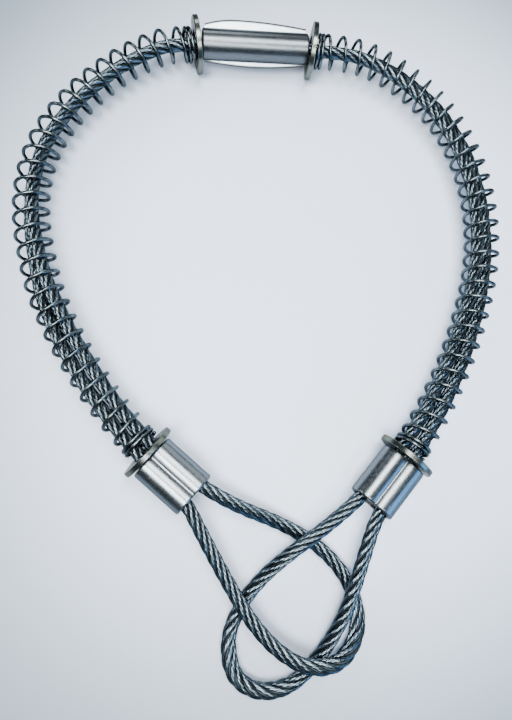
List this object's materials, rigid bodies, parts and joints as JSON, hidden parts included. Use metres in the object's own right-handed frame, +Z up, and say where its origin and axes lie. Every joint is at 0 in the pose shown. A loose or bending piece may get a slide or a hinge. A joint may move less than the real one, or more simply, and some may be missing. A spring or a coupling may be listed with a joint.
{
  "type": "whip-check hose safety cable",
  "caption": "Doubled wire rope with an eye at each end, a pressed ferrule at its middle, and sprung sliding sleeves that close the eyes.",
  "frame": {"origin": "centre of the footprint on the plane that the cable lies on", "axes": "+Z up; +Y from the crossed eyes towards the pressed ferrule; +X to the right seen from above"},
  "size_m": [0.1529, 0.2098, 0.0178],
  "materials": {
    "rope_steel": "galvanised stranded wire, dull with bright crowns",
    "spring_steel": "drawn grey spring wire",
    "zinc_plate": "zinc plated, faintly yellow",
    "pressed_aluminium": "bright, with fine die marks and pits",
    "sleeve_aluminium": "bright, with lengthwise drawing lines"
  },
  "bodies": {
    "cable": {"wire_rope": "rope_steel", "pressed_ferrule": "pressed_aluminium", "left_spring": "spring_steel", "right_spring": "spring_steel"},
    "left_slider": {"left_sleeve": "sleeve_aluminium"},
    "right_slider": {"right_sleeve": "sleeve_aluminium"},
    "left_outer_washer_body": {"left_outer_washer": "zinc_plate"},
    "right_outer_washer_body": {"right_outer_washer": "zinc_plate"},
    "left_inner_washer_body": {"left_inner_washer": "zinc_plate"},
    "right_inner_washer_body": {"right_inner_washer": "zinc_plate"}
  },
  "joints": [
    {"name": "left_sleeve_slide", "type": "hinge", "parent": "cable", "child": "left_slider", "pos_m": [0.066, 0.0605, 0.0089], "axis": [0, 0, -1], "range_deg": [0, 17.6], "stiffness_Nm_per_rad": 8.9, "deforming": ["left_spring"]},
    {"name": "left_outer_washer_spin", "type": "hinge", "parent": "left_slider", "child": "left_outer_washer_body", "pos_m": [-0.03514, -0.03631, 0.0089], "axis": [0.7317, -0.6635, -0.1564], "continuous": true},
    {"name": "left_inner_washer_spin", "type": "hinge", "parent": "cable", "child": "left_inner_washer_body", "pos_m": [-0.02085, 0.0958, 0.0089], "axis": [0.9903, 0.1392, 0], "continuous": true},
    {"name": "right_sleeve_slide", "type": "hinge", "parent": "cable", "child": "right_slider", "pos_m": [-0.085, 0.059, 0.0089], "axis": [0, 0, 1], "range_deg": [0, 16.2], "stiffness_Nm_per_rad": 11.1, "deforming": ["right_spring"]},
    {"name": "right_outer_washer_spin", "type": "hinge", "parent": "right_slider", "child": "right_outer_washer_body", "pos_m": [0.0405, -0.03862, 0.0089], "axis": [-0.6557, -0.7437, -0.1305], "continuous": true},
    {"name": "right_inner_washer_spin", "type": "hinge", "parent": "cable", "child": "right_inner_washer_body", "pos_m": [0.01725, 0.0958, 0.0089], "axis": [0.9903, -0.1392, 0], "continuous": true}
  ]
}
